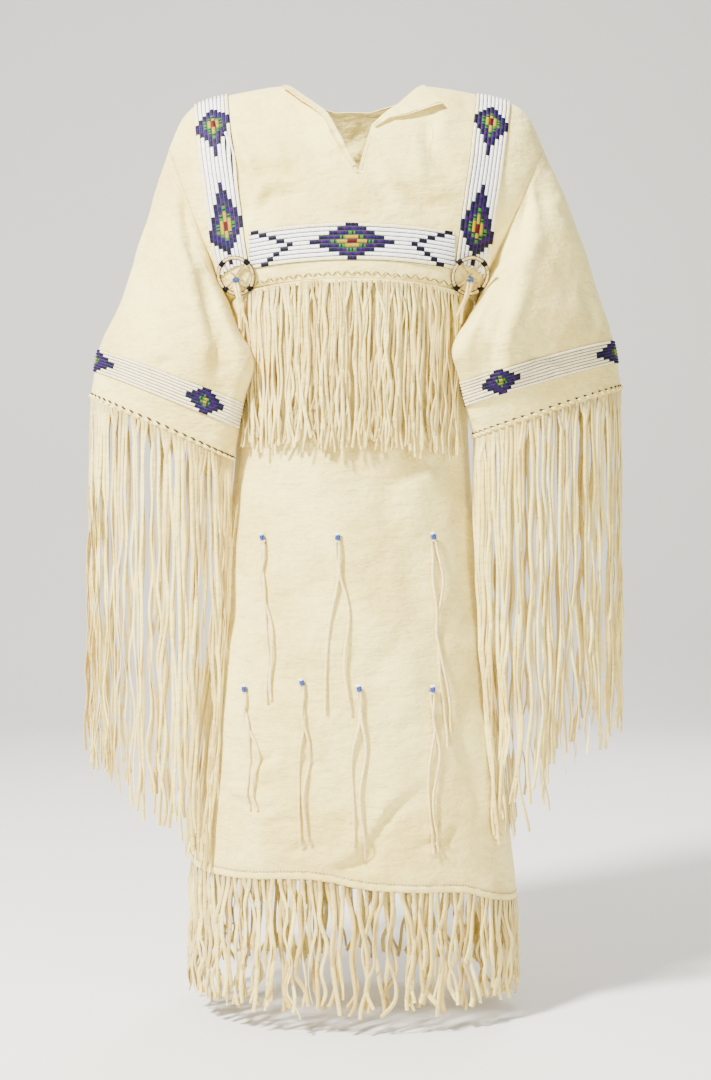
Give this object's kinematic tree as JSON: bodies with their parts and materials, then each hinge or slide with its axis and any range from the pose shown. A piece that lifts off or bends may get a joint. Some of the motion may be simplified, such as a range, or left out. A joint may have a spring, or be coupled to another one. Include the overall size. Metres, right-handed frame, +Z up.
{
  "type": "quilled hide dress",
  "caption": "Hollow T-shaped hide dress with wide sleeves, quilled bands over chest, shoulders and cuffs, wheel ornaments, and long fringes at chest, cuffs and hem.",
  "frame": {"origin": "midway between the shoulders at the height of the neck corners, where the wearer's shoulders hold the dress", "axes": "+Z up, the front faces -Y, +X towards the right as seen from the front"},
  "size_m": [0.6951, 0.2631, 1.1652],
  "materials": {
    "hide": "soft napped hide, matt",
    "fringe_hide": "cut hide strands, matt",
    "thong": "thin hide thongs, matt",
    "quillwork": "flattened dyed quills in lanes, low sheen",
    "hoop_quill": "wrapped quill hoop, low sheen",
    "dark_wrap": "dark dyed wrapping, low sheen",
    "turquoise": "glossy opaque bead",
    "blue_bead": "glossy opaque bead"
  },
  "bodies": {
    "root": {"front_yoke": "hide", "back_yoke": "hide", "front_skirt": "hide", "back_skirt": "hide", "chest_band": "quillwork", "chest_fringe": "fringe_hide", "hem_fringe_front": "fringe_hide", "hem_fringe_back": "fringe_hide", "left_neck_edge": "hide", "right_neck_flap": "hide", "left_sleeve_front": "hide", "left_sleeve_back": "hide", "left_shoulder_strip": "quillwork", "left_cuff_band": "quillwork", "left_sleeve_fringe": "fringe_hide", "left_wheel_hoop": "hoop_quill", "left_wheel_thongs": "thong", "left_wheel_wrap_1": "dark_wrap", "left_wheel_wrap_2": "dark_wrap", "left_wheel_wrap_3": "dark_wrap", "left_wheel_wrap_4": "dark_wrap", "left_wheel_bead": "turquoise", "left_wheel_tails": "thong", "right_sleeve_front": "hide", "right_sleeve_back": "hide", "right_shoulder_strip": "quillwork", "right_cuff_band": "quillwork", "right_sleeve_fringe": "fringe_hide", "right_wheel_hoop": "hoop_quill", "right_wheel_thongs": "thong", "right_wheel_wrap_1": "dark_wrap", "right_wheel_wrap_2": "dark_wrap", "right_wheel_wrap_3": "dark_wrap", "right_wheel_wrap_4": "dark_wrap", "right_wheel_bead": "turquoise", "right_wheel_tails": "thong", "skirt_bead_1": "blue_bead", "skirt_thongs_1": "thong", "skirt_bead_2": "blue_bead", "skirt_thongs_2": "thong", "skirt_bead_3": "blue_bead", "skirt_thongs_3": "thong", "skirt_bead_4": "blue_bead", "skirt_thongs_4": "thong", "skirt_bead_5": "blue_bead", "skirt_thongs_5": "thong", "skirt_bead_6": "blue_bead", "skirt_thongs_6": "thong", "skirt_bead_7": "blue_bead", "skirt_thongs_7": "thong"}
  },
  "joints": []
}
